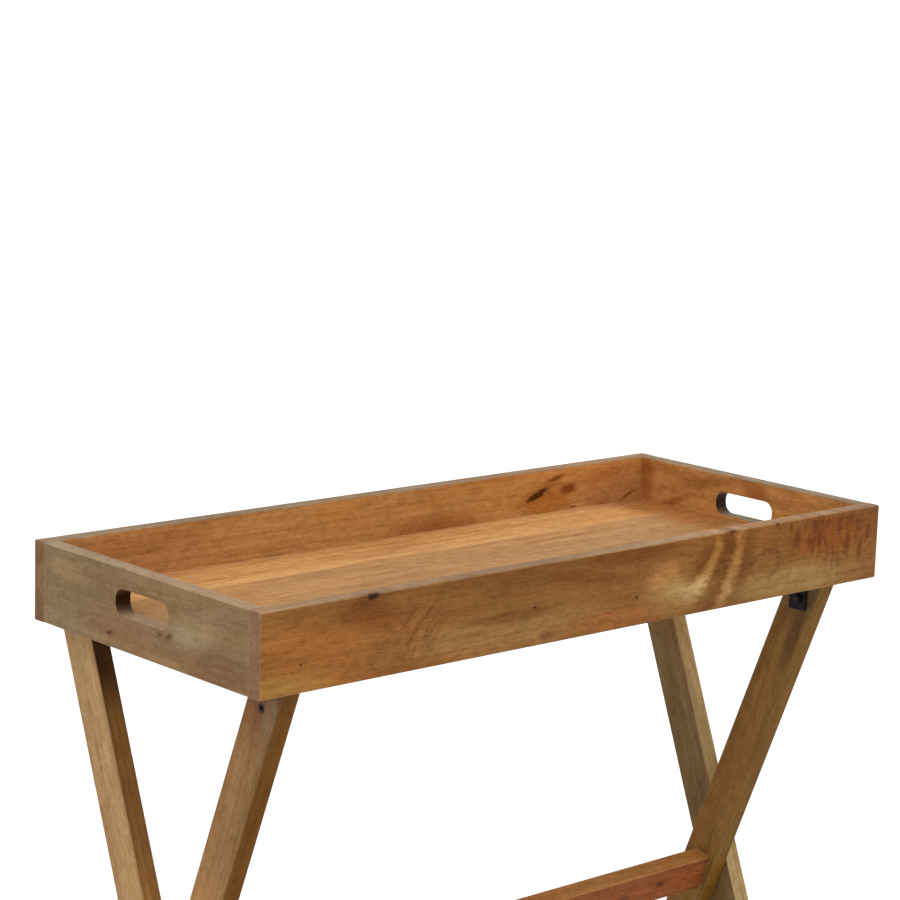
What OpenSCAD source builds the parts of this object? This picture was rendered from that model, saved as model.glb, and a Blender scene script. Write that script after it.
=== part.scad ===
// Folding tray table: a deep four-board tray hinged on two nested X-leg frames.
// Origin: on the ground under the middle of the tray. +X along the tray, +Y away from the
// hinged side, +Z up. "Near" is the hinged (-Y) side, "far" is the side that lifts (+Y).

/* [Tray] */
// Outside length of the tray
tray_length = 800; // [700:10:900]
// Outside width of the tray
tray_width = 340; // [340:1:360]
// Height of the four rim boards
board_height = 76; // [72:1:90]
// Thickness of the rim boards
board_thick = 16; // [14:0.5:16]
// Thickness of the floor planks
floor_thick = 12; // [10:0.5:14]
// Depth of the recess under the floor, where the leg tops sit
floor_recess = 17; // [16:0.1:17]
// Depth of the groove in the boards that holds the floor's tongue
groove_depth = 5; // [3:0.5:7]
// Thickness of the floor's tongue
tongue_thick = 7; // [5:0.5:8]
// Width of the eased edges on boards, legs and rails
edge_ease = 1; // [0.5:0.1:1.5]

/* [Handle slots] */
// Length of each handle slot
slot_length = 80; // [70:1:110]
// Height of each handle slot
slot_height = 25; // [24:0.5:28]
// Corner radius of each handle slot
slot_radius = 11; // [6:0.5:11.5]
// Height of the slot's middle above the bottom edge of the board
slot_rise = 44.5; // [43:0.5:52]

/* [Stand] */
// Height from the ground to the top of the tray's rim
table_height = 770; // [740:5:800]
// Angle of each leg from upright
leg_angle = 21; // [20:0.1:21]
// Width of a leg, seen from the end of the table
leg_width = 42; // [38:0.5:42]
// Thickness of a leg, along the tray
leg_thick = 20; // [18:0.5:22]
// Distance from the tray's bottom edge down to the crossing bolts
cross_drop = 340; // [320:1:340]
// Gap between the tray's end board and the outer leg
side_gap = 2; // [1.5:0.1:4]
// Gap between an inner and an outer leg, filled by a washer
leg_gap = 2; // [2:0.1:4]
// Width of the centre rail and the two low rails
rail_width = 42; // [36:1:44]
// Thickness of the cross rails
rail_thick = 19; // [16:0.5:20]
// Width of the rail between the tops of the outer legs
top_rail_width = 30; // [28:1:32]
// Height of the two low rails' middle above the ground
low_rail_height = 100; // [80:1:130]

/* [Hinge brackets] */
// Width of a bracket
bracket_width = 22; // [20:1:25]
// Thickness of the bracket's steel
bracket_thick = 2.5; // [2:0.1:3]
// Length of the arm screwed under the floor
bracket_arm = 40; // [36:1:50]
// Distance from the tray's bottom edge down to the tray's hinge line
hinge_drop = 23.5; // [23.2:0.1:25]
// Length of the inner legs above the hinge line
leg_above_hinge = 33; // [31:0.5:33]

/* [Fasteners] */
// Diameter of the hinge screws and the crossing bolts
bolt_dia = 6; // [5:0.5:6]
// Radial play of a bolt in the piece that turns on it
bolt_play = 0.08; // [0.05:0.01:0.1]
// Diameter of the rail dowels
rail_dowel_dia = 8; // [6:1:8]
// Diameter of the tray's corner dowels
corner_dowel_dia = 6; // [5:1:6]

/* [Hidden] */
$fn = 48;
TINY = 0.01;

// Heights above the ground
tray_z = table_height - board_height;
floor_under_z = tray_z + floor_recess;
floor_top_z = floor_under_z + floor_thick;
cross_z = tray_z - cross_drop;
hinge_z = tray_z - hinge_drop;

// Half sizes of the tray
half_length = tray_length / 2;
half_width = tray_width / 2;
inside_half_length = half_length - board_thick;
inside_half_width = half_width - board_thick;
floor_half_length = inside_half_length + groove_depth;
floor_half_width = inside_half_width + groove_depth;
plank_count = 4;
plank_width = 2 * floor_half_width / plank_count;

// Legs: faces along X, and lengths along the leg from the crossing
outer_leg_x1 = inside_half_length - side_gap;
outer_leg_x0 = outer_leg_x1 - leg_thick;
inner_leg_x1 = outer_leg_x0 - leg_gap;
inner_leg_x0 = inner_leg_x1 - leg_thick;
leg_below = cross_z / cos(leg_angle) + leg_width;
leg_top_gap = 0.2;
outer_leg_rise = floor_under_z - leg_top_gap - cross_z;
outer_leg_above = (outer_leg_rise - leg_width / 2 * sin(leg_angle)) / cos(leg_angle);
hinge_along = (hinge_z - cross_z) / cos(leg_angle);
inner_leg_above = hinge_along + leg_above_hinge;
hinge_y = -hinge_along * sin(leg_angle);

// Rails: places across (y) and along (z) the leg, from the crossing
centre_rail_y = -3;
centre_rail_z = -9;
rail_setback = 1;
side_rail_y = leg_width / 2 - rail_setback - rail_thick / 2;
low_rail_z = -(cross_z - low_rail_height) / cos(leg_angle);
top_rail_gap = 2;
top_rail_z = outer_leg_above - top_rail_gap - top_rail_width / 2;

// Corner dowels: two in each corner, clear of the floor's groove
corner_dowel_rise = [8.5, 58];
corner_dowel_length = 30;
corner_dowel_in_board = 10;

// Rail dowels
rail_dowel_length = 40;
rail_dowel_in_leg = 12;
rail_dowel_spread = 11;
top_dowel_spread = 7.5;
centre_dowel_y = -3;
centre_dowel_z = -22;

// Cleats under the floor
cleat_x = [-215, 0, 215];
cleat_names = ["left", "middle", "right"];
cleat_width = 40;
cleat_thick = 10;
cleat_length = 200;
cleat_screw_y = [-88, -30, 30, 88];
cleat_screw_length = cleat_thick + 0.7 * floor_thick;
wood_screw_dia = 3.5;
wood_screw_head = 7;
wood_screw_tip = 0.6;
drive_width = 0.7;
drive_length = 3.6;
drive_depth = 1.1;

// Bracket screws, as distances from the leg along the arm
bracket_screw_x = [14, 30];
bracket_screw_length = 11;
wing_gap = 0.5;
wing_below_hinge = 11.5;
bracket_corner = 2;

// Tray hinge screw and its low nut
hinge_head_dia = 9;
hinge_head_height = 1.5;
hinge_key_width = 4.6;
hinge_key_depth = 2;
hinge_nut_width = 10;
hinge_nut_height = 3;
hinge_nut_gap = 0.3;
hinge_screw_tail = 0.4;

// Crossing bolt, washer and barrel nut
cross_head_dia = 17;
cross_head_height = 1.8;
cross_head_gap = 0.1;
cross_key_width = 4.6;
cross_key_depth = 1.2;
cross_bolt_length = 76;
washer_dia = 16;
washer_thick = 1.6;
barrel_dia = 10;
barrel_length = 14;
barrel_from_leg = 24;
barrel_inset = 1;

// ---- Shared shapes ----

// A rectangle centred on the origin with its four corners cut off at 45 degrees
module eased_rectangle(wide, high, ease) {
    x = wide / 2;
    y = high / 2;
    polygon([
        [-x + ease, -y], [x - ease, -y], [x, -y + ease], [x, y - ease],
        [x - ease, y], [-x + ease, y], [-x, y - ease], [-x, -y + ease]
    ]);
}

// A rectangle centred on the origin with round corners, as squares and circles
module round_rectangle(wide, high, radius) {
    square([wide - 2 * radius, high], center = true);
    square([wide, high - 2 * radius], center = true);
    for (x = [-1, 1], y = [-1, 1])
        translate([x * (wide / 2 - radius), y * (high / 2 - radius)])
            circle(r = radius);
}

// A round rod along +X
module rod_x(from_x, to_x, dia) {
    translate([from_x, 0, 0])
        rotate([0, 90, 0])
            cylinder(h = to_x - from_x, d = dia);
}

// The outline of a countersunk wood screw that enters upwards from z = 0
module wood_screw_body(length) {
    head_height = (wood_screw_head - wood_screw_dia) / 2;
    cylinder(h = head_height, d1 = wood_screw_head, d2 = wood_screw_dia);
    cylinder(h = length - wood_screw_dia, d = wood_screw_dia);
    translate([0, 0, length - wood_screw_dia - TINY])
        cylinder(h = wood_screw_dia, d1 = wood_screw_dia, d2 = wood_screw_tip);
}

// The same screw with the cross recess in its head
module wood_screw(length) {
    difference() {
        wood_screw_body(length);
        for (angle = [0, 90])
            rotate([0, 0, angle])
                cube([drive_length, drive_width, 2 * drive_depth], center = true);
    }
}

// The same shape on the left and the right side
module both_sides() {
    children();
    mirror([1, 0, 0])
        children();
}

// Tilts a shape, drawn around the crossing, into the inner or the outer frame
module in_inner_frame() {
    translate([0, 0, cross_z])
        rotate([leg_angle, 0, 0])
            children();
}

module in_outer_frame() {
    translate([0, 0, cross_z])
        rotate([-leg_angle, 0, 0])
            children();
}

// ---- Tray ----

// A flat block, centred on the tray, that stands on the floor's underside
module floor_layer(half_x, half_y, thick) {
    translate([-half_x, -half_y, floor_under_z])
        cube([2 * half_x, 2 * half_y, thick]);
}

// The lower layer of the floor, whose edge is the tongue in the boards' grooves
module tongue_layer() {
    floor_layer(floor_half_length, floor_half_width, tongue_thick);
}

module corner_dowel_set() {
    for (x = [-1, 1], y = [-1, 1], rise = corner_dowel_rise)
        translate([
            x * (half_length - board_thick / 2),
            y * (inside_half_width + corner_dowel_in_board),
            tray_z + rise
        ])
            rotate([y * 90, 0, 0])
                cylinder(h = corner_dowel_length, d = corner_dowel_dia);
}

// A long board on the far side: it covers the ends of the end boards
module long_board() {
    difference() {
        translate([-half_length, half_width - board_thick / 2, tray_z + board_height / 2])
            rotate([90, 0, 90])
                linear_extrude(tray_length)
                    eased_rectangle(board_thick, board_height, edge_ease);
        tongue_layer();
        corner_dowel_set();
    }
}

// An end board on the right, between the long boards, with its handle slot
module end_board() {
    difference() {
        translate([half_length - board_thick / 2, inside_half_width, tray_z + board_height / 2])
            rotate([90, 0, 0])
                linear_extrude(2 * inside_half_width)
                    eased_rectangle(board_thick, board_height, edge_ease);
        translate([inside_half_length - 1, 0, tray_z + slot_rise])
            rotate([90, 0, 90])
                linear_extrude(board_thick + 2)
                    round_rectangle(slot_length, slot_height, slot_radius);
        tongue_layer();
        corner_dowel_set();
    }
}

module tray_front_board() {
    color("peru") mirror([0, 1, 0]) long_board();
}

module tray_back_board() {
    color("peru") long_board();
}

module tray_left_end() {
    color("tan") mirror([1, 0, 0]) end_board();
}

module tray_right_end() {
    color("tan") end_board();
}

// Plank number 1 is the near one
module floor_plank(number) {
    near_y = -floor_half_width + (number - 1) * plank_width;
    color("burlywood")
        difference() {
            intersection() {
                union() {
                    floor_layer(inside_half_length, inside_half_width, floor_thick);
                    tongue_layer();
                }
                translate([-tray_length, near_y, 0])
                    cube([2 * tray_length, plank_width, table_height]);
            }
            at_cleat_screws()
                wood_screw_body(cleat_screw_length);
            both_sides()
                at_bracket_screws()
                    wood_screw_body(bracket_screw_length);
        }
}

module floor_cleat(x) {
    color("burlywood")
        difference() {
            translate([x, cleat_length / 2, floor_under_z - cleat_thick / 2])
                rotate([90, 0, 0])
                    linear_extrude(cleat_length)
                        eased_rectangle(cleat_width, cleat_thick, edge_ease);
            at_cleat_screws()
                wood_screw_body(cleat_screw_length);
        }
}

module at_cleat_screws() {
    for (x = cleat_x, y = cleat_screw_y)
        translate([x, y, floor_under_z - cleat_thick])
            children();
}

module corner_dowels() {
    color("wheat") corner_dowel_set();
}

module cleat_screws() {
    color("silver")
        at_cleat_screws()
            wood_screw(cleat_screw_length);
}

// ---- Hinge brackets between the tray and the inner legs ----

wing_x = inner_leg_x0 - wing_gap;

// The places of the right-hand bracket's screws
module at_bracket_screws() {
    for (along = bracket_screw_x)
        translate([wing_x - along, hinge_y, floor_under_z - bracket_thick])
            children();
}

module hinge_bracket() {
    wing_height = floor_under_z - hinge_z + wing_below_hinge;
    wing_middle_z = floor_under_z - wing_height / 2;
    near_edge_y = hinge_y - bracket_width / 2;
    arm_z = floor_under_z - bracket_thick;
    color([0.09, 0.09, 0.09])
        difference() {
            union() {
                translate([wing_x - bracket_thick, hinge_y, wing_middle_z])
                    rotate([90, 0, 90])
                        linear_extrude(bracket_thick)
                            round_rectangle(bracket_width, wing_height, bracket_corner);
                translate([wing_x - bracket_thick, near_edge_y, arm_z])
                    cube([bracket_thick, bracket_width, bracket_thick]);
                translate([wing_x - bracket_arm / 2, hinge_y, arm_z])
                    linear_extrude(bracket_thick)
                        round_rectangle(bracket_arm, bracket_width, bracket_corner);
                translate([wing_x - bracket_corner, near_edge_y, arm_z])
                    cube([bracket_corner, bracket_width, bracket_thick]);
            }
            at_bracket_screws()
                wood_screw_body(bracket_screw_length);
            translate([0, hinge_y, hinge_z])
                rod_x(wing_x - 2 * bracket_thick, wing_x + 1, bolt_dia + 2 * bolt_play);
        }
}

module hinge_bracket_left() {
    mirror([1, 0, 0]) hinge_bracket();
}

module hinge_bracket_right() {
    hinge_bracket();
}

module bracket_screws() {
    color([0.12, 0.12, 0.12])
        both_sides()
            at_bracket_screws()
                wood_screw(bracket_screw_length);
}

// A countersunk screw, flush in the leg's outer face, that the bracket turns on
module hinge_screw() {
    tip_x = wing_x - bracket_thick - hinge_nut_gap - hinge_nut_height - hinge_screw_tail;
    translate([0, hinge_y, hinge_z]) {
        rod_x(tip_x, inner_leg_x1, bolt_dia);
        translate([inner_leg_x1 - hinge_head_height, 0, 0])
            rotate([0, 90, 0])
                cylinder(h = hinge_head_height, d1 = bolt_dia, d2 = hinge_head_dia);
    }
}

module hinge_screw_with_socket() {
    color([0.12, 0.12, 0.12])
        difference() {
            hinge_screw();
            translate([inner_leg_x1 - hinge_key_depth, hinge_y, hinge_z])
                rotate([0, 90, 0])
                    cylinder(h = hinge_key_depth + 1, d = hinge_key_width, $fn = 6);
        }
}

module hinge_screw_left() {
    mirror([1, 0, 0]) hinge_screw_with_socket();
}

module hinge_screw_right() {
    hinge_screw_with_socket();
}

module hinge_nut() {
    nut_x = wing_x - bracket_thick - hinge_nut_gap - hinge_nut_height;
    translate([nut_x, hinge_y, hinge_z])
        difference() {
            rotate([0, 90, 0])
                cylinder(h = hinge_nut_height, d = hinge_nut_width / cos(30), $fn = 6);
            rod_x(-1, hinge_nut_height + 1, bolt_dia);
        }
}

module hinge_nuts() {
    color([0.12, 0.12, 0.12]) both_sides() hinge_nut();
}

// ---- Legs ----

// A leg on the right, drawn along Z around the crossing
module leg_bar(x0, above) {
    translate([x0 + leg_thick / 2, 0, -leg_below])
        linear_extrude(leg_below + above)
            eased_rectangle(leg_thick, leg_width, edge_ease);
}

// Everything above the ground
module above_ground() {
    translate([0, -tray_width, 0])
        cube([tray_length, 2 * tray_width, table_height]);
}

module inner_leg() {
    color("sienna")
        difference() {
            intersection() {
                in_inner_frame() leg_bar(inner_leg_x0, inner_leg_above);
                above_ground();
            }
            hinge_screw();
            in_inner_frame() {
                rod_x(inner_leg_x0 - 1, inner_leg_x1 + 1, bolt_dia);
                inner_dowel_side();
            }
        }
}

module inner_leg_left() {
    mirror([1, 0, 0]) inner_leg();
}

module inner_leg_right() {
    inner_leg();
}

module outer_leg() {
    color("sienna")
        difference() {
            intersection() {
                in_outer_frame() leg_bar(outer_leg_x0, outer_leg_above);
                above_ground();
            }
            in_outer_frame() {
                rod_x(outer_leg_x0 - 1, outer_leg_x1 + 1, bolt_dia + 2 * bolt_play);
                outer_dowel_side();
            }
        }
}

module outer_leg_left() {
    mirror([1, 0, 0]) outer_leg();
}

module outer_leg_right() {
    outer_leg();
}

// ---- Rails ----

// A rail between two legs whose inner faces are at +-half, at a place across and along the leg
module rail(half, y, z, width) {
    translate([-half, y, z])
        rotate([90, 0, 90])
            linear_extrude(2 * half)
                eased_rectangle(rail_thick, width, edge_ease);
}

// Two dowels in the right-hand end of a rail
module rail_dowel_pair(leg_face, y, z, spread) {
    for (side = [-1, 1])
        translate([0, y, z + side * spread])
            rod_x(
                leg_face + rail_dowel_in_leg - rail_dowel_length,
                leg_face + rail_dowel_in_leg,
                rail_dowel_dia
            );
}

module inner_dowel_side() {
    rail_dowel_pair(inner_leg_x0, side_rail_y, low_rail_z, rail_dowel_spread);
    translate([0, centre_dowel_y, centre_dowel_z])
        rod_x(
            inner_leg_x0 + rail_dowel_in_leg - rail_dowel_length,
            inner_leg_x0 + rail_dowel_in_leg,
            rail_dowel_dia
        );
}

module outer_dowel_side() {
    rail_dowel_pair(outer_leg_x0, -side_rail_y, low_rail_z, rail_dowel_spread);
    rail_dowel_pair(outer_leg_x0, side_rail_y, top_rail_z, top_dowel_spread);
}

module centre_rail() {
    color("chocolate")
        difference() {
            in_inner_frame() rail(inner_leg_x0, centre_rail_y, centre_rail_z, rail_width);
            in_inner_frame() both_sides() {
                inner_dowel_side();
                rod_x(outer_leg_x1 - cross_bolt_length, outer_leg_x1, bolt_dia);
                barrel_bore();
            }
        }
}

module inner_low_rail() {
    color("chocolate")
        difference() {
            in_inner_frame() rail(inner_leg_x0, side_rail_y, low_rail_z, rail_width);
            in_inner_frame() both_sides() inner_dowel_side();
        }
}

module outer_top_rail() {
    color("chocolate")
        difference() {
            in_outer_frame() rail(outer_leg_x0, side_rail_y, top_rail_z, top_rail_width);
            in_outer_frame() both_sides() outer_dowel_side();
        }
}

module outer_low_rail() {
    color("chocolate")
        difference() {
            in_outer_frame() rail(outer_leg_x0, -side_rail_y, low_rail_z, rail_width);
            in_outer_frame() both_sides() outer_dowel_side();
        }
}

module inner_rail_dowels() {
    color("wheat") in_inner_frame() both_sides() inner_dowel_side();
}

module outer_rail_dowels() {
    color("wheat") in_outer_frame() both_sides() outer_dowel_side();
}

// ---- Crossing bolts: through the outer leg and the inner leg into the centre rail ----

module cross_bolt() {
    head_x = outer_leg_x1 + cross_head_gap;
    color("silver")
        in_inner_frame()
            difference() {
                union() {
                    rod_x(outer_leg_x1 - cross_bolt_length, head_x + 1, bolt_dia);
                    rod_x(head_x, head_x + cross_head_height, cross_head_dia);
                }
                translate([head_x + cross_head_height - cross_key_depth, 0, 0])
                    rotate([0, 90, 0])
                        cylinder(h = cross_key_depth + 1, d = cross_key_width, $fn = 6);
            }
}

module cross_bolt_left() {
    mirror([1, 0, 0]) cross_bolt();
}

module cross_bolt_right() {
    cross_bolt();
}

module cross_washers() {
    color("silver")
        in_inner_frame()
            both_sides()
                difference() {
                    rod_x(inner_leg_x1, inner_leg_x1 + washer_thick, washer_dia);
                    rod_x(inner_leg_x1 - 1, inner_leg_x1 + leg_gap, bolt_dia);
                }
}

// A rod across the rail, around the bolt, from just inside the rail's far face
module barrel_rod(extra) {
    far_y = centre_rail_y + rail_thick / 2 - barrel_inset;
    translate([inner_leg_x0 - barrel_from_leg, far_y - barrel_length, 0])
        rotate([-90, 0, 0])
            cylinder(h = barrel_length + extra, d = barrel_dia);
}

module barrel_bore() {
    barrel_rod(2 * barrel_inset);
}

module barrel_nuts() {
    color("silver")
        in_inner_frame()
            both_sides()
                difference() {
                    barrel_rod(0);
                    rod_x(outer_leg_x1 - cross_bolt_length, outer_leg_x1, bolt_dia);
                }
}

tray_front_board();
tray_back_board();
tray_left_end();
tray_right_end();
floor_plank(1);  // floor_plank_1
floor_plank(2);  // floor_plank_2
floor_plank(3);  // floor_plank_3
floor_plank(4);  // floor_plank_4
floor_cleat(cleat_x[0]);  // floor_cleat_left
floor_cleat(cleat_x[1]);  // floor_cleat_middle
floor_cleat(cleat_x[2]);  // floor_cleat_right
corner_dowels();
cleat_screws();
hinge_bracket_left();
hinge_bracket_right();
bracket_screws();
inner_leg_left();
inner_leg_right();
centre_rail();
inner_low_rail();
inner_rail_dowels();
hinge_screw_left();
hinge_screw_right();
hinge_nuts();
cross_bolt_left();
cross_bolt_right();
cross_washers();
barrel_nuts();
outer_leg_left();
outer_leg_right();
outer_top_rail();
outer_low_rail();
outer_rail_dowels();
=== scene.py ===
"""Looks of the folding tray table: figured hardwood, black and zinc-plated steel, on a pale floor."""

import math
from types import SimpleNamespace

import bpy
from mathutils import Matrix, Vector


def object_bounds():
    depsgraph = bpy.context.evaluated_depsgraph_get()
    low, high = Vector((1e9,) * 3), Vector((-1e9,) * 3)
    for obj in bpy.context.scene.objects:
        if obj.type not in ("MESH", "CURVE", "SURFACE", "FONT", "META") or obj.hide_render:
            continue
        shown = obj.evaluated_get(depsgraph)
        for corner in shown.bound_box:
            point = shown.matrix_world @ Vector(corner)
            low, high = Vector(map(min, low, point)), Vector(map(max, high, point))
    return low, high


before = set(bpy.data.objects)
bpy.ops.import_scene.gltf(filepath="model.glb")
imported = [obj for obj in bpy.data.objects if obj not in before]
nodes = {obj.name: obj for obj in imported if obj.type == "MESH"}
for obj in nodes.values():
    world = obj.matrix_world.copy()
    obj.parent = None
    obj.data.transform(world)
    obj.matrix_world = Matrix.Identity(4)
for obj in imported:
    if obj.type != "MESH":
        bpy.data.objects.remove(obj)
cad_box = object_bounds()

X, Y, Z = Vector((1, 0, 0)), Vector((0, 1, 0)), Vector((0, 0, 1))


def srgb(red, green, blue):
    """A colour given as 0 to 255 on screen, as linear RGBA."""
    def linear(value):
        part = value / 255
        return part / 12.92 if part <= 0.04045 else ((part + 0.055) / 1.055) ** 2.4
    return (linear(red), linear(green), linear(blue), 1.0)


# ---- Camera, lights and floor -------------------------------------------------------------------

CAMERA_PLACE = Vector((-1.7353, -1.8784, 1.3159))
CAMERA_HEADING = math.radians(42.04)   # from +Y towards +X
CAMERA_DIP = math.radians(10.55)
CAMERA_ROLL = math.radians(1.82)
CAMERA_LENS = 107.3
CAMERA_SENSOR = 36.0
CAMERA_NEAR, CAMERA_FAR = 0.05, 500

SKY_STRENGTH = 0.9
SKY_SPREAD = math.radians(70)
SKY_DIRECTION = Vector((0.45, 0.40, -1.0))
SKY_COLOUR = (1, 0.985, 0.96)
FILL_OFFSET = Vector((-3.0, 0.3, 0.9))   # from the table's middle
FILL_SIZE = (2.4, 1.8)
FILL_POWER = 18
FILL_COLOUR = (0.94, 0.97, 1)
WORLD_STRENGTH = 1.0
GROUND_HALF = 120.0
GROUND_GREY = 0.95


def make_camera():
    forward = Vector((
        math.sin(CAMERA_HEADING) * math.cos(CAMERA_DIP),
        math.cos(CAMERA_HEADING) * math.cos(CAMERA_DIP),
        -math.sin(CAMERA_DIP),
    ))
    level_right = Vector((math.cos(CAMERA_HEADING), -math.sin(CAMERA_HEADING), 0))
    level_up = level_right.cross(forward)
    right = level_right * math.cos(CAMERA_ROLL) + level_up * math.sin(CAMERA_ROLL)
    up = level_up * math.cos(CAMERA_ROLL) - level_right * math.sin(CAMERA_ROLL)
    data = bpy.data.cameras.new("camera")
    data.lens = CAMERA_LENS
    data.sensor_width = CAMERA_SENSOR
    data.clip_start = CAMERA_NEAR
    data.clip_end = CAMERA_FAR
    camera = bpy.data.objects.new("camera", data)
    camera.matrix_world = (
        Matrix.Translation(CAMERA_PLACE) @ Matrix((right, up, -forward)).transposed().to_4x4()
    )
    bpy.context.collection.objects.link(camera)
    bpy.context.scene.camera = camera


def place_light(data, place, direction):
    light = bpy.data.objects.new(data.name, data)
    light.location = place
    light.rotation_euler = direction.to_track_quat("-Z", "Y").to_euler()
    bpy.context.collection.objects.link(light)


def make_studio():
    """A broad soft sky from above, a soft fill from the left, and a white world."""
    middle = (cad_box[0] + cad_box[1]) / 2
    sky = bpy.data.lights.new("sky", "SUN")
    sky.energy = SKY_STRENGTH
    sky.angle = SKY_SPREAD
    sky.color = SKY_COLOUR
    place_light(sky, Vector(), SKY_DIRECTION)
    fill = bpy.data.lights.new("left_fill", "AREA")
    fill.shape = "RECTANGLE"
    fill.size, fill.size_y = FILL_SIZE
    fill.energy = FILL_POWER
    fill.color = FILL_COLOUR
    aim = middle + Vector((0, 0, 0.2))
    place = middle + FILL_OFFSET
    place_light(fill, place, aim - place)
    world = bpy.data.worlds.new("studio")
    world.use_nodes = True
    background = world.node_tree.nodes["Background"]
    background.inputs["Color"].default_value = (1, 1, 1, 1)
    background.inputs["Strength"].default_value = WORLD_STRENGTH
    scene = bpy.context.scene
    scene.world = world
    scene.view_settings.view_transform = "Standard"


def make_floor():
    half = GROUND_HALF
    mesh = bpy.data.meshes.new("ground")
    corners = [(-half, -half, 0), (half, -half, 0), (half, half, 0), (-half, half, 0)]
    mesh.from_pydata(corners, [], [(0, 1, 2, 3)])
    ground = bpy.data.objects.new("ground", mesh)
    bpy.context.collection.objects.link(ground)
    material = bpy.data.materials.new("ground")
    material.use_nodes = True
    shader = material.node_tree.nodes["Principled BSDF"]
    shader.inputs["Base Color"].default_value = (GROUND_GREY, GROUND_GREY, GROUND_GREY, 1)
    shader.inputs["Roughness"].default_value = 0.8
    shader.inputs["Specular IOR Level"].default_value = 0.1
    mesh.materials.append(material)


# ---- Node-tree helper ---------------------------------------------------------------------------

class Tree:
    """Short names for building a shader: each call makes a node and returns its output socket."""

    def __init__(self, name):
        self.material = bpy.data.materials.new(name)
        self.material.use_nodes = True
        self.tree = self.material.node_tree
        self.shader = self.tree.nodes["Principled BSDF"]

    def node(self, kind, **settings):
        made = self.tree.nodes.new(kind)
        for key, value in settings.items():
            setattr(made, key, value)
        return made

    def feed(self, socket, value):
        """Links a socket, or sets a plain value."""
        if isinstance(value, bpy.types.NodeSocket):
            self.tree.links.new(value, socket)
        else:
            socket.default_value = value

    def math(self, operation, *values, clamp=False):
        made = self.node("ShaderNodeMath", operation=operation, use_clamp=clamp)
        for socket, value in zip(made.inputs, values):
            self.feed(socket, value)
        return made.outputs[0]

    def vector(self, operation, *values):
        made = self.node("ShaderNodeVectorMath", operation=operation)
        for socket, value in zip(made.inputs, values):
            self.feed(socket, value)
        return made.outputs["Value" if operation in ("DOT_PRODUCT", "LENGTH") else "Vector"]

    def combine(self, x, y, z):
        made = self.node("ShaderNodeCombineXYZ")
        for socket, value in zip(made.inputs, (x, y, z)):
            self.feed(socket, value)
        return made.outputs[0]

    def noise(self, place, stretch, detail=2.0, roughness=0.5, distortion=0.0):
        """Noise from 0 to 1; stretch is how many blobs there are per metre along each axis."""
        made = self.node("ShaderNodeTexNoise")
        self.feed(made.inputs["Vector"], self.vector("MULTIPLY", place, stretch))
        made.inputs["Scale"].default_value = 1.0
        made.inputs["Detail"].default_value = detail
        made.inputs["Roughness"].default_value = roughness
        made.inputs["Distortion"].default_value = distortion
        return made.outputs[0]

    def between(self, value, low, high, out_low=0.0, out_high=1.0):
        """Smooth step of a value from low..high to out_low..out_high."""
        made = self.node("ShaderNodeMapRange", interpolation_type="SMOOTHSTEP")
        for socket, given in zip(made.inputs, (value, low, high, out_low, out_high)):
            self.feed(socket, given)
        return made.outputs[0]

    def mix(self, amount, first, second, blend="MIX"):
        made = self.node("ShaderNodeMix", data_type="RGBA", blend_type=blend)
        self.feed(made.inputs["Factor"], amount)
        self.feed(made.inputs[6], first)
        self.feed(made.inputs[7], second)
        return made.outputs[2]

    def ramp(self, value, stops):
        made = self.node("ShaderNodeValToRGB")
        self.feed(made.inputs[0], value)
        elements = made.color_ramp.elements
        while len(elements) < len(stops):
            elements.new(0.5)
        for element, (place, colour) in zip(elements, stops):
            element.position = place
            element.color = colour if len(colour) == 4 else (*colour, 1)
        return made.outputs[0]

    def bump(self, height, strength, distance):
        made = self.node("ShaderNodeBump")
        made.inputs["Strength"].default_value = strength
        made.inputs["Distance"].default_value = distance
        self.feed(made.inputs["Height"], height)
        self.feed(self.shader.inputs["Normal"], made.outputs[0])


# ---- Wood ---------------------------------------------------------------------------------------

# Factors and colours of the wood's marks
KNOT_CORE = (0.16, 0.09, 0.05)
KNOT_HALO = (0.55, 0.42, 0.30)
LATE_WOOD = (0.74, 0.64, 0.50)
END_GRAIN = (0.82, 0.74, 0.68)
STROKE_BROWN = srgb(98, 48, 10)
RUBBED = srgb(158, 134, 110)

KNOT_DEPTH = 0.003            # how deep a knot on one face goes, in metres
STROKE_TURN = -6              # degrees from square across the grain
SKIN = (0.004, 0.002)         # a face's painted light and shade colour fades in between these depths, in metres
HOLE_MARGIN = (0.004, 0.006)  # surfaces farther in from a board's edges than this are in a hole
WOOD_SPECULAR = 0.08
WOOD_ROUGHNESS = 0.44
PORE_ROUGHNESS = 0.18
RELIEF_HEIGHT = 0.0004        # metres


def plank(node, grain, width):
    """A board's own axes, middle and half sizes, from the CAD mesh at rest."""
    deep = grain.cross(width)
    axes = (grain, width, deep)
    points = [vertex.co for vertex in nodes[node].data.vertices]
    spans = [[point.dot(axis) for point in points] for axis in axes]
    lows = [min(span) for span in spans]
    highs = [max(span) for span in spans]
    middle = sum((axis * (low + high) / 2 for axis, low, high in zip(axes, lows, highs)), Vector())
    half = [(high - low) / 2 for low, high in zip(lows, highs)]
    return SimpleNamespace(node=node, axes=axes, middle=middle, half=half)


def knot(at, size, turn=0, side=0, strength=0.92, reach=2.4, rough=2.4):
    """A knot: a dark oval core in a soft halo. at is along and across the board, from 0 to 1;
    side is 1 or -1 where the knot shows on one face only, and 0 where it goes right through;
    reach is how far the halo goes, in core sizes; rough is how ragged the core is."""
    return SimpleNamespace(
        kind="knot", at=at, size=size, turn=turn, side=side, strength=strength, reach=reach,
        rough=rough,
    )


def tint(at, size, colour, turn=0, strength=0.8):
    """A soft patch of another colour: mostly the wood's own, but painted shade at the tops of some legs
    and painted sheen on floor plank 1.
    """
    return SimpleNamespace(kind="tint", at=at, size=size, turn=turn, colour=colour, strength=strength)


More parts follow.
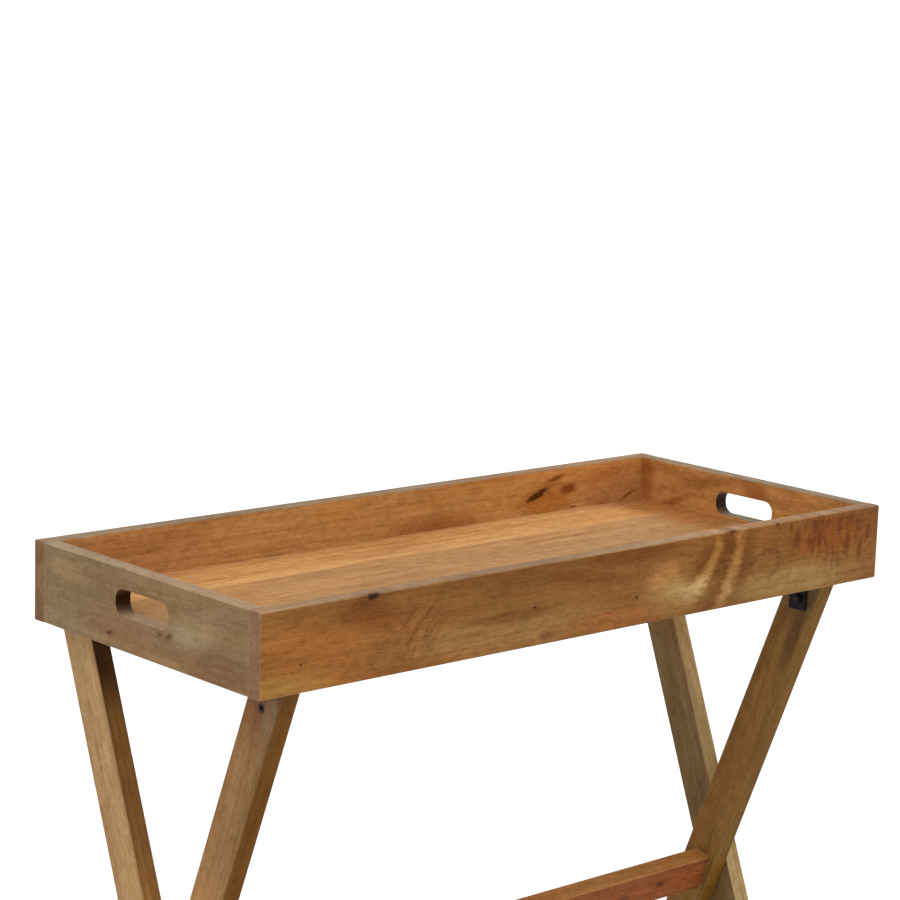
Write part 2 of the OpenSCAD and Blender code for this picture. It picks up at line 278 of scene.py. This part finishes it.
def stroke(along, across, wide, high):
    """A short dark stroke that stands across the grain."""
    return SimpleNamespace(kind="stroke", at=(along, across), size=(wide, high), turn=STROKE_TURN)


def swell(at, size, rise):
    """A place that the growth rings bend around, by up to rise rings."""
    return SimpleNamespace(kind="swell", at=at, size=size, turn=0, rise=rise)


def flame(at, size, turn, count, bend=0.0, light=(1, 1, 1), dark=(1, 1, 1), strength=0.8, seed=0.0):
    """Streaks that run along turn. count is streaks per metre along and across; bend curves them."""
    return SimpleNamespace(
        kind="flame", at=at, size=size, turn=turn, count=count, bend=bend,
        light=light, dark=dark, strength=strength, seed=seed,
    )


def arcs(at, size, centre, period, shift, light, dark, turn, strength):
    """Curved light and dark bands about a centre, period metres apart, seen inside one oval."""
    return SimpleNamespace(
        kind="arcs", at=at, size=size, turn=turn, centre=centre, period=period, shift=shift,
        light=light, dark=dark, strength=strength,
    )


def eye(at, size, colour, turn, strength):
    """A thin oval ring."""
    return SimpleNamespace(kind="eye", at=at, size=size, turn=turn, colour=colour, strength=strength)


class Wood(Tree):
    """Solid wood of one board, worked out in the board's own axes."""

    def __init__(self, board, seed):
        super().__init__(board.node)
        self.board = board
        coordinates = self.node("ShaderNodeTexCoord")
        self.position = coordinates.outputs["Object"]
        self.normal = coordinates.outputs["Normal"]
        away = self.vector("SUBTRACT", self.position, board.middle)
        self.own = [self.vector("DOT_PRODUCT", away, axis) for axis in board.axes]
        self.place = self.vector("ADD", self.combine(*self.own), Vector((1.37, 0.61, 0.23)) * seed)
        self.streak = self.noise(self.place, (7, 210, 210), 3, 0.65)
        self.fibre = self.noise(self.place, (45, 1500, 1500), 2, 0.7)
        self.broad = self.noise(self.place, (3.5, 17, 17), 3, 0.55, 0.4)
        ragged = self.noise(self.place, (110, 240, 240), 3, 0.6)
        self.ragged = self.math("SUBTRACT", ragged, 0.5)
        self.hollows = 0.0

    def spot(self, at):
        """A point of the board's middle plane: at runs from 0 to 1 over its length and width."""
        board = self.board
        along, across = (half * (2 * part - 1) for half, part in zip(board.half, at))
        return board.middle + board.axes[0] * along + board.axes[1] * across

    def turned(self, at, turn):
        """Distances from a spot along and across a direction, in metres."""
        angle = math.radians(turn)
        axes = self.board.axes
        first = axes[0] * math.cos(angle) + axes[1] * math.sin(angle)
        second = axes[1] * math.cos(angle) - axes[0] * math.sin(angle)
        away = self.vector("SUBTRACT", self.position, self.spot(at))
        return self.vector("DOT_PRODUCT", away, first), self.vector("DOT_PRODUCT", away, second)

    def oval(self, mark):
        """Squared distance from a mark's middle, 1 on the rim of its oval."""
        first, second = self.turned(mark.at, mark.turn)
        a = self.math("DIVIDE", first, mark.size[0])
        b = self.math("DIVIDE", second, mark.size[1])
        return self.math("ADD", self.math("MULTIPLY", a, a), self.math("MULTIPLY", b, b))

    def bell(self, mark, reach=1.0):
        """1 in a mark's middle, fading softly past its rim."""
        return self.math("EXPONENT", self.math("MULTIPLY", self.oval(mark), -1.0 / reach ** 2))

    def of_kind(self, marks, kind):
        return [mark for mark in marks if mark.kind == kind]

    def start(self, base, painted_light_faces, marks):
        """The board's own colour, then the patches, then the colours painted on single faces as light,
        shade and reflection.
        """
        self.colour = self.mix(0.0, base, base)
        for mark in self.of_kind(marks, "tint"):
            patchy = self.math("MULTIPLY_ADD", self.broad, 0.9, 0.55)
            amount = self.between(self.math("MULTIPLY", self.bell(mark), patchy), 0.05, 0.85)
            self.colour = self.mix(self.math("MULTIPLY", amount, mark.strength), self.colour, mark.colour)
        away = self.vector("SUBTRACT", self.position, self.board.middle)
        # Painted light, shade and reflection: each listed face takes its own colour near its surface
        for direction, shade in painted_light_faces:
            half = sum(
                abs(axis.dot(direction)) * size for axis, size in zip(self.board.axes, self.board.half)
            )
            facing = self.between(self.vector("DOT_PRODUCT", self.normal, direction), 0.6, 0.75)
            reached = self.vector("DOT_PRODUCT", away, direction)
            outer = self.between(reached, *(half - depth for depth in SKIN))
            self.colour = self.mix(self.math("MULTIPLY", facing, outer), self.colour, shade)

    def slot_faces(self, jamb_painted_shade, ledge_painted_light):
        """The surfaces inside a hole through the board: end grain with painted shade at its ends, and wood
        with painted light between.
        """
        gaps = [
            self.math("SUBTRACT", size, self.math("ABSOLUTE", distance))
            for size, distance in zip(self.board.half[:2], self.own[:2])
        ]
        inside = self.between(self.math("MINIMUM", *gaps), *HOLE_MARGIN)
        facing_out = self.math("ABSOLUTE", self.vector("DOT_PRODUCT", self.normal, self.board.axes[2]))
        inside = self.math("MULTIPLY", inside, self.between(facing_out, 0.7, 0.4))
        endwise = self.math("ABSOLUTE", self.vector("DOT_PRODUCT", self.normal, self.board.axes[0]))
        self.colour = self.mix(inside, self.colour, self.mix(endwise, ledge_painted_light, jamb_painted_shade))

    def shade(self, amount, factor):
        """Multiplies the colour by a factor, as far as amount says."""
        self.colour = self.mix(amount, self.colour, (*factor, 1), "MULTIPLY")

    def rings(self, pith, ring, figure, marks):
        """Growth rings about a pith that lies across and into the board, bent by swells."""
        warp_a = self.math("SUBTRACT", self.noise(self.place, (2.2, 11, 11), 2), 0.5)
        warp_b = self.math("SUBTRACT", self.noise(self.place, (3.1, 7, 7), 2), 0.5)
        side = self.math("MULTIPLY_ADD", warp_a, 0.06, self.math("SUBTRACT", self.own[1], pith[0]))
        depth = self.math("MULTIPLY_ADD", warp_b, 0.05, self.math("SUBTRACT", self.own[2], pith[1]))
        radius = self.vector("LENGTH", self.combine(side, depth, 0.0))
        phase = self.math("DIVIDE", radius, ring)
        for mark in self.of_kind(marks, "swell"):
            phase = self.math("MULTIPLY_ADD", self.bell(mark, 1.6), mark.rise, phase)
        phase = self.math("MULTIPLY_ADD", self.noise(self.place, (9, 60, 60), 3, 0.6), 1.4, phase)
        self.late = self.ramp(self.math("FRACT", phase), [
            (0.0, (0, 0, 0)), (0.55, (0.35, 0.35, 0.35)), (0.86, (1, 1, 1)), (1.0, (0, 0, 0)),
        ])
        fading = self.between(self.noise(self.place, (4, 20, 20), 1), 0.35, 0.65, 0.2, 1.0)
        amount = self.math("MULTIPLY", self.math("MULTIPLY", self.late, fading), figure)
        self.shade(amount, LATE_WOOD)

    def tones(self, contrast):
        """Broad light and dark areas, warm areas and a fine mottle across the grain."""
        self.shade(self.between(self.broad, 0.50, 0.32, 0.0, contrast), (0.74, 0.67, 0.57))
        self.shade(self.between(self.broad, 0.52, 0.72, 0.0, contrast), (1.24, 1.27, 1.32))
        warmth = self.noise(self.place, (2.7, 12, 12), 2, 0.5, 0.6)
        self.shade(self.between(warmth, 0.46, 0.68, 0.0, 0.9 * contrast), (1.08, 0.90, 0.70))
        mottle = self.noise(self.place, (75, 95, 95), 3, 0.6, 0.8)
        self.shade(self.between(mottle, 0.42, 0.66, 0.0, 0.75), (0.82, 0.77, 0.68))
        self.shade(self.between(mottle, 0.42, 0.25, 0.0, 0.6), (1.14, 1.15, 1.16))

    def lines(self, texture):
        """Streaks, dashes and fibres that run with the grain, the pale streaks partly painted sheen, and
        open pores.
        """
        self.shade(self.between(self.streak, 0.42, 0.76, 0.0, 0.7 * texture), (0.70, 0.61, 0.50))
        # Pale streaks: partly paler fibre, partly painted sheen of the grain's shimmer
        self.shade(self.between(self.streak, 0.46, 0.22, 0.0, 0.7 * texture), (1.20, 1.22, 1.24))
        dashes = self.noise(self.place, (42, 380, 380), 3, 0.62, 0.3)
        self.shade(self.between(dashes, 0.53, 0.72, 0.0, 0.8 * texture), (0.72, 0.63, 0.52))
        self.shade(self.between(dashes, 0.45, 0.28, 0.0, 0.7 * texture), (1.18, 1.19, 1.20))
        self.shade(self.between(self.fibre, 0.3, 0.75, 0.0, 0.6 * texture), (0.80, 0.74, 0.66))
        pores = self.noise(self.place, (95, 1100, 1100), 1, 0.5)
        self.pores = self.between(pores, 0.62, 0.71)
        self.shade(self.math("MULTIPLY", self.pores, 0.8 * texture), (0.60, 0.50, 0.40))

    def flames(self, marks):
        for mark in self.of_kind(marks, "flame"):
            first, second = self.turned(mark.at, mark.turn)
            bent = self.math("MULTIPLY_ADD", self.math("MULTIPLY", first, first), mark.bend, second)
            place = self.vector("ADD", self.combine(first, bent, 0.0), Vector((mark.seed, 0, 0.43)))
            streaks = self.noise(place, (*mark.count, 1), 3, 0.55, 0.8)
            zone = self.math("MULTIPLY", self.between(self.bell(mark), 0.2, 0.75), mark.strength)
            dark = self.between(streaks, 0.52, 0.62)
            light = self.between(streaks, 0.48, 0.38)
            self.shade(self.math("MULTIPLY", dark, zone), mark.dark)
            self.shade(self.math("MULTIPLY", light, zone), mark.light)

    def arc_bands(self, marks):
        for mark in self.of_kind(marks, "arcs"):
            across, up = self.turned(mark.centre, 0)
            radius = self.vector("LENGTH", self.combine(across, up, 0.0))
            radius = self.math("MULTIPLY_ADD", self.math("SUBTRACT", self.broad, 0.5), 0.045, radius)
            turns = self.math("MULTIPLY_ADD", radius, 2 * math.pi / mark.period, -2 * math.pi * mark.shift)
            wave = self.math("COSINE", self.math("ADD", turns, self.math("MULTIPLY", self.ragged, 2.6)))
            zone = self.math("MULTIPLY", self.between(self.bell(mark), 0.15, 0.7), mark.strength)
            self.shade(self.math("MULTIPLY", self.between(wave, 0.4, 0.95), zone), mark.light)
            self.shade(self.math("MULTIPLY", self.between(wave, 0.3, -0.4), zone), mark.dark)

    def eyes(self, marks):
        for mark in self.of_kind(marks, "eye"):
            squared = self.math("MULTIPLY_ADD", self.ragged, 1.6, self.oval(mark))
            inner = self.between(squared, 0.55, 0.95)
            outer = self.between(squared, 1.5, 1.05)
            rim = self.math("MULTIPLY", inner, outer)
            self.shade(self.math("MULTIPLY", rim, mark.strength), mark.colour)

    def strokes(self, marks):
        for mark in self.of_kind(marks, "stroke"):
            squared = self.math("MULTIPLY_ADD", self.ragged, 5.0, self.oval(mark))
            amount = self.between(squared, 2.9, -0.3, 0.0, 0.9)
            self.colour = self.mix(amount, self.colour, STROKE_BROWN)

    def knots(self, marks):
        for mark in self.of_kind(marks, "knot"):
            squared = self.oval(mark)
            if mark.side:
                depth = self.math("SUBTRACT", self.own[2], mark.side * self.board.half[2])
                depth = self.math("DIVIDE", depth, KNOT_DEPTH)
                squared = self.math("MULTIPLY_ADD", depth, depth, squared)
            core = self.between(self.math("MULTIPLY_ADD", self.ragged, mark.rough, squared), 1.5, 0.5)
            halo = self.math("EXPONENT", self.math("MULTIPLY", squared, -1.0 / mark.reach ** 2))
            self.shade(self.math("MULTIPLY", halo, 0.8), KNOT_HALO)
            self.shade(self.math("MULTIPLY", core, mark.strength), KNOT_CORE)
            self.hollows = self.math("ADD", self.hollows, core)

    def wear(self):
        """Darker end grain, and edges rubbed paler."""
        endwise = self.vector("DOT_PRODUCT", self.normal, self.board.axes[0])
        end = self.between(self.math("ABSOLUTE", endwise), 0.6, 0.85)
        self.shade(self.math("MULTIPLY", end, 0.7), END_GRAIN)
        gaps = [
            self.math("SUBTRACT", size, self.math("ABSOLUTE", distance))
            for size, distance in zip(self.board.half, self.own)
        ]
        nearer = self.math("MINIMUM", gaps[0], gaps[1])
        farther = self.math("MAXIMUM", gaps[0], gaps[1])
        to_edge = self.math("MAXIMUM", nearer, self.math("MINIMUM", farther, gaps[2]))
        rub_width = self.math("MULTIPLY_ADD", self.streak, 0.0030, 0.0003)
        rubbed = self.between(to_edge, rub_width, 0.0)
        self.colour = self.mix(self.math("MULTIPLY", rubbed, 0.1), self.colour, RUBBED)

    def finish(self):
        """Base colour, sheen that varies with the grain, and relief."""
        self.feed(self.shader.inputs["Base Color"], self.colour)
        grit = self.math("MULTIPLY_ADD", self.streak, 0.16, WOOD_ROUGHNESS)
        roughness = self.math("MULTIPLY_ADD", self.pores, PORE_ROUGHNESS, grit)
        self.feed(self.shader.inputs["Roughness"], roughness)
        self.shader.inputs["Specular IOR Level"].default_value = WOOD_SPECULAR
        relief = self.math("MULTIPLY_ADD", self.late, -0.25, self.math("MULTIPLY", self.fibre, 0.35))
        relief = self.math("MULTIPLY_ADD", self.pores, -0.9, relief)
        relief = self.math("MULTIPLY_ADD", self.hollows, -1.2, relief)
        self.bump(relief, 0.35, RELIEF_HEIGHT)
        return self.material


def wood(board, base, seed, painted_light_faces=(), marks=(), pith=(0.05, -0.09), ring=0.007, figure=0.45,
         contrast=0.8, texture=0.8, slot=None):
    """The material of one board. painted_light_faces are (direction, colour) pairs: light, shade and
    reflection painted on the faces that look along direction;
    slot is the colours of the ends and of the long sides of a hole, painted shade at the ends and painted
    light between; figure, contrast and texture run from 0 to 1."""
    w = Wood(board, seed)
    w.start(base, painted_light_faces, marks)
    if slot:
        w.slot_faces(*slot)
    w.tones(contrast)
    w.rings(pith, ring, figure, marks)
    w.arc_bands(marks)
    w.flames(marks)
    w.lines(texture)
    w.eyes(marks)
    w.strokes(marks)
    w.knots(marks)
    w.wear()
    return w.finish()


# ---- Metal --------------------------------------------------------------------------------------

def metal(name, colour, worn, metallic, roughness, speckle, relief):
    """Steel with a fine-grained finish and small scuffs."""
    t = Tree(name)
    position = t.node("ShaderNodeTexCoord").outputs["Object"]
    scuffs = t.noise(position, (90, 90, 260), 4, 0.7, 0.5)
    grains = t.noise(position, (speckle,) * 3, 2, 0.6)
    tone = t.mix(t.between(scuffs, 0.58, 0.74, 0.0, 0.7), colour, worn)
    t.feed(t.shader.inputs["Base Color"], t.mix(t.between(grains, 0.35, 0.7, 0, 0.25), tone, worn))
    t.shader.inputs["Metallic"].default_value = metallic
    t.shader.inputs["Specular IOR Level"].default_value = 0.15
    t.feed(t.shader.inputs["Roughness"], t.math("MULTIPLY_ADD", scuffs, 0.3, roughness - 0.15))
    t.bump(grains, relief, 0.0002)
    return t.material


# ---- Boards, with their own colours and marks ---------------------------------------------------

DARKER = (0.52, 0.42, 0.32)
PALER = (1.30, 1.34, 1.32)

BEECH = srgb(202, 168, 121)
FLOOR = srgb(174, 132, 84)
FAR_FLOOR = srgb(202, 154, 100)
LEG = srgb(133, 96, 58)
# Ends inside the hand holes: end grain, made near black as painted shade of the hole
JAMB_PAINTED_SHADE = srgb(54, 27, 4)

LEAN = math.radians(21)
INNER_GRAIN = Vector((0, -math.sin(LEAN), math.cos(LEAN)))
INNER_WIDTH = Vector((0, math.cos(LEAN), math.sin(LEAN)))
OUTER_GRAIN = Vector((0, math.sin(LEAN), math.cos(LEAN)))
OUTER_WIDTH = Vector((0, math.cos(LEAN), -math.sin(LEAN)))


# Short dark strokes across the grain near the right end: along, across, half width, half height
FRONT_STROKES = [
    (0.844, 0.74, 0.0042, 0.0085), (0.866, 0.67, 0.0030, 0.0060), (0.887, 0.68, 0.0028, 0.0095),
    (0.924, 0.76, 0.0032, 0.0055), (0.941, 0.58, 0.0034, 0.0095), (0.965, 0.44, 0.0026, 0.0080),
    (0.980, 0.66, 0.0030, 0.0065), (0.831, 0.90, 0.0020, 0.0045), (0.902, 0.88, 0.0026, 0.0050),
]


def front_board():
    marks = [
        knot((0.152, 0.975), (0.0062, 0.0036), 8, side=1, reach=3.2),
        knot((0.054, 0.33), (0.0010, 0.0010), side=1, reach=2.0),
        knot((0.394, 0.48), (0.0012, 0.0011), reach=2.2),
        knot((0.560, 0.36), (0.0012, 0.0011), reach=2.2),
        knot((0.724, 0.99), (0.0040, 0.0015), side=1, strength=0.6, reach=2.0),
        knot((0.805, 0.98), (0.0018, 0.0015), side=1, strength=0.7, reach=2.0),
        tint((0.07, 0.45), (0.070, 0.030), srgb(146, 92, 40), strength=0.7),
        tint((0.03, 0.06), (0.055, 0.014), srgb(158, 116, 60), strength=0.75),
        tint((0.150, 0.75), (0.040, 0.013), srgb(118, 66, 22), -12, strength=0.8),
        tint((0.215, 0.45), (0.030, 0.030), srgb(128, 80, 38), 50, strength=0.5),
        tint((0.35, 0.20), (0.110, 0.020), srgb(148, 114, 68), strength=0.75),
        tint((0.36, 0.42), (0.055, 0.006), srgb(110, 70, 26), strength=0.7),
        tint((0.47, 0.74), (0.060, 0.007), srgb(114, 66, 20), -8, strength=0.7),
        tint((0.55, 0.93), (0.070, 0.010), srgb(112, 64, 18), strength=0.9),
        tint((0.412, 0.10), (0.009, 0.005), srgb(104, 70, 38), strength=0.8),
        tint((0.605, 0.55), (0.022, 0.013), srgb(160, 112, 60), 20, strength=0.9),
        tint((0.640, 0.25), (0.045, 0.020), srgb(160, 128, 76), strength=0.9),
        tint((0.520, 0.14), (0.070, 0.010), srgb(152, 98, 48), strength=0.7),
        tint((0.700, 0.75), (0.045, 0.018), srgb(120, 76, 26), strength=0.8),
        tint((0.910, 0.72), (0.065, 0.022), srgb(128, 70, 18), strength=0.85),
        tint((0.84, 0.18), (0.100, 0.016), srgb(150, 120, 72), strength=0.85),
        swell((0.152, 0.95), (0.022, 0.016), 4),
        swell((0.70, 0.55), (0.060, 0.040), 3),
        swell((0.787, 0.46), (0.020, 0.014), 3),
        flame((0.222, 0.45), (0.032, 0.026), 52, (22, 230), 3, dark=DARKER, light=PALER, strength=0.55),
        arcs((0.705, 0.50), (0.056, 0.036), (0.645, 0.947), 0.0295, 0.746, (1.44, 1.66, 2.3),
             (0.66, 0.54, 0.36), 30, 0.95),
        eye((0.786, 0.47), (0.021, 0.0135), (0.56, 0.46, 0.34), 12, 0.5),
        flame((0.905, 0.66), (0.036, 0.075), 84, (38, 130), 1.5, (1.22, 1.25, 1.28), (0.68, 0.54, 0.38),
              0.8, 3.0),
        *(stroke(*place) for place in FRONT_STROKES),
    ]
    board = plank("tray_front_board", X, Z)
    # Painted sheen: the top and the left end are paler and greyer than the rest
    painted_light_faces = [(Z, srgb(154, 120, 85)), (-X, srgb(124, 94, 71))]
    return wood(board, srgb(130, 87, 40), 1, painted_light_faces, marks, (0.10, -0.08), 0.009, 0.35)


def back_board():
    marks = [
        knot((0.782, 0.66), (0.0145, 0.0034), 20, reach=1.8, strength=0.88, rough=3.6),
        tint((0.838, 0.68), (0.0140, 0.0050), srgb(120, 58, 10), 4, strength=1.0),
        tint((0.815, 0.86), (0.0160, 0.0030), srgb(128, 70, 18), 12, strength=0.8),
        tint((0.800, 0.50), (0.0400, 0.0160), srgb(176, 112, 50), 6, strength=0.8),
        knot((0.850, 0.41), (0.0040, 0.0008), -6, strength=0.6, reach=1.6, rough=3.5),
        knot((0.905, 0.38), (0.0030, 0.0009), -8, strength=0.7, reach=1.6, rough=3.5),
        knot((0.955, 0.46), (0.0070, 0.0012), 24, strength=0.5, reach=2.0, rough=4.0),
        tint((0.10, 0.60), (0.110, 0.034), srgb(182, 132, 82), strength=0.8),
        tint((0.60, 0.42), (0.060, 0.018), srgb(150, 94, 46), strength=0.6),
        tint((0.915, 0.68), (0.040, 0.026), srgb(182, 124, 74), strength=0.8),
        swell((0.80, 0.65), (0.035, 0.016), 3),
    ]
    board = plank("tray_back_board", X, Z)
    # Painted light and sheen by face: the top and left end paler and greyer, the outer face darker than
    # the inner face, which takes the base colour
    painted_light_faces = [(Z, srgb(144, 121, 95)), (-X, srgb(121, 95, 71)), (Y, srgb(137, 96, 55))]
    return wood(board, srgb(192, 142, 85), 2, painted_light_faces, marks, (0.10, 0.08), 0.009, 0.35)


def left_end():
    marks = [
        knot((0.662, 0.17), (0.0044, 0.0014), -15, strength=0.5, reach=1.8, rough=4.0),
        knot((0.368, 0.37), (0.0046, 0.0020), -30, strength=0.45, reach=2.0, rough=4.5),
        knot((0.412, 0.36), (0.0034, 0.0014), -20, strength=0.4, reach=2.0, rough=4.5),
        tint((0.60, 0.30), (0.050, 0.016), srgb(118, 88, 62), strength=0.8),
        tint((0.88, 0.76), (0.030, 0.012), srgb(134, 112, 78), strength=0.8),
        tint((0.12, 0.20), (0.060, 0.020), srgb(98, 74, 52), strength=0.7),
        tint((0.262, 0.50), (0.036, 0.016), srgb(134, 118, 90), -10, strength=0.75),
        flame((0.200, 0.76), (0.034, 0.008), -14, (14, 190), -2, dark=(0.70, 0.66, 0.58), strength=0.8),
        flame((0.78, 0.86), (0.045, 0.008), -4, (14, 200), 0, dark=(0.72, 0.66, 0.58), strength=0.7),
    ]
    # Painted light and reflection: the base colour seen on the outer face is greyed as painted reflection;
    # the inner face is warmer, the top paler and greyer, and the hand hole's long sides are lightened as
    # painted light
    painted_light_faces = [(X, srgb(162, 115, 65)), (Z, srgb(153, 132, 105))]
    board = plank("tray_left_end", Y, Z)
    return wood(board, srgb(116, 95, 68), 3, painted_light_faces, marks, texture=0.5, slot=(JAMB_PAINTED_SHADE, srgb(162, 138, 110)))


def right_end():
    marks = [
        tint((0.97, 0.72), (0.012, 0.030), srgb(160, 96, 42), strength=0.8),
        tint((0.86, 0.40), (0.040, 0.005), srgb(128, 74, 24), -24, strength=0.6),
        tint((0.70, 0.80), (0.060, 0.007), srgb(146, 94, 40), -12, strength=0.6),
        tint((0.45, 0.85), (0.020, 0.010), srgb(140, 82, 26), 8, strength=0.7),
    ]
    # Painted light and sheen by face: the outer face darker than the inner face, which takes the base
    # colour; the top and the hand hole's long sides greyer as painted sheen
    painted_light_faces = [(X, srgb(133, 96, 62)), (Z, srgb(143, 126, 102))]
    board = plank("tray_right_end", Y, Z)
    return wood(board, srgb(186, 134, 78), 4, painted_light_faces, marks, slot=(JAMB_PAINTED_SHADE, srgb(143, 126, 102)))


def floor_planks():
    for number in range(1, 5):
        board = plank(f"floor_plank_{number}", X, Y)
        marks = [
            tint((0.98, 0.5), (0.050, 0.090), srgb(150, 94, 42), strength=0.75),
            flame((0.45, 0.5), (0.36, 0.060), 0, (5, 110), 0, (1.16, 1.14, 1.08), (0.80, 0.74, 0.66),
                  0.7, number),
        ]
        if number == 1:
            # Painted sheen: a pale greyish strip along one side of plank 1
            marks.append(tint((0.50, 0.2), (0.280, 0.030), srgb(184, 148, 114), strength=0.7))
        yield wood(board, FAR_FLOOR if number == 4 else FLOOR, 4 + number, marks=marks,
                   contrast=0.6, figure=0.3, texture=0.6)


def legs():
    """Each leg, with light or shade painted on its near edge or outer face where that differs."""
    inner = (INNER_GRAIN, INNER_WIDTH)
    outer = (OUTER_GRAIN, OUTER_WIDTH)
    # Painted light and shade by face: the left outer leg's outer face lighter, the inner legs'
    # downward-tilted near edges darker, the right outer leg's upward-tilted near face lighter
    yield wood(
        plank("outer_leg_left", *outer), srgb(119, 84, 43), 16, [(-X, srgb(149, 120, 82))],
        [
            # Painted shade: dark top of the leg, under the tray
            tint((0.97, 0.5), (0.070, 0.060), srgb(48, 28, 8), strength=0.9),
            tint((0.60, 0.5), (0.060, 0.060), srgb(142, 108, 60), strength=0.7),
        ],
    )
    yield wood(
        plank("inner_leg_left", *inner), srgb(126, 95, 60), 14, [(-INNER_WIDTH, srgb(104, 66, 12))],
        [
            # Painted shade: dark top of the leg, under the tray
            tint((1.0, 0.4), (0.060, 0.030), srgb(98, 56, 36), strength=0.8),
            tint((0.955, 0.15), (0.024, 0.010), srgb(122, 104, 76), strength=0.8),
            tint((0.60, 0.5), (0.090, 0.060), srgb(150, 112, 70), strength=0.8),
        ],
    )
    yield wood(
        plank("outer_leg_right", *outer), srgb(117, 94, 60), 17, [(-OUTER_WIDTH, srgb(172, 151, 110))],
    )
    yield wood(
        plank("inner_leg_right", *inner), srgb(122, 90, 45), 15, [(-INNER_WIDTH, srgb(113, 80, 24))],
        [
            # Painted shade: greyish dark top of the leg, under the tray
            tint((0.99, 0.35), (0.050, 0.040), srgb(100, 82, 58), strength=0.9),
            tint((0.90, 0.25), (0.040, 0.008), srgb(84, 56, 26), strength=0.7),
            flame((0.80, 0.35), (0.060, 0.012), 8, (8, 160), 0, dark=(0.62, 0.54, 0.46), strength=0.7),
        ],
    )


def rails():
    # Painted light: the centre rail's upper face lighter, as lit from above
    top = (INNER_GRAIN, srgb(166, 117, 64))
    marks = [
        knot((0.90, 0.55), (0.0050, 0.0030), strength=0.5, reach=2.2),
        knot((0.82, 0.35), (0.0040, 0.0030), strength=0.5, reach=2.2),
    ]
    yield wood(plank("centre_rail", X, INNER_GRAIN), srgb(129, 72, 36), 18, [top], marks)
    yield wood(plank("inner_low_rail", X, INNER_GRAIN), LEG, 19)
    yield wood(plank("outer_top_rail", X, OUTER_GRAIN), LEG, 20)
    yield wood(plank("outer_low_rail", X, OUTER_GRAIN), LEG, 21)


def small_wood():
    for number, side in enumerate(("left", "middle", "right")):
        yield wood(plank(f"floor_cleat_{side}", Y, X), FLOOR, 10 + number)
    yield wood(plank("corner_dowels", Y, Z), BEECH, 22)
    yield wood(plank("inner_rail_dowels", X, Z), BEECH, 23)
    yield wood(plank("outer_rail_dowels", X, Z), BEECH, 24)


def dress(node, material):
    """Gives a CAD node its material in every slot."""
    slots = nodes[node].data.materials
    if not slots:
        slots.append(material)
    for index in range(len(slots)):
        slots[index] = material


make_camera()
make_studio()
make_floor()

for material in (front_board(), back_board(), left_end(), right_end(),
                 *floor_planks(), *legs(), *rails(), *small_wood()):
    dress(material.name, material)

black = metal("black_steel", srgb(9, 9, 8), srgb(24, 23, 22), 0.0, 0.6, 1400, 0.3)
brown = metal("browned_steel", srgb(44, 26, 18), srgb(66, 42, 30), 0.0, 0.6, 1400, 0.3)
zinc = metal("zinc_steel", srgb(176, 176, 172), srgb(140, 138, 132), 1.0, 0.36, 900, 0.12)
for name in ("hinge_bracket_left", "hinge_bracket_right", "bracket_screws", "hinge_nuts"):
    dress(name, black)
for name in ("hinge_screw_left", "hinge_screw_right"):
    dress(name, brown)
for name in ("cleat_screws", "cross_bolt_left", "cross_bolt_right", "cross_washers", "barrel_nuts"):
    dress(name, zinc)
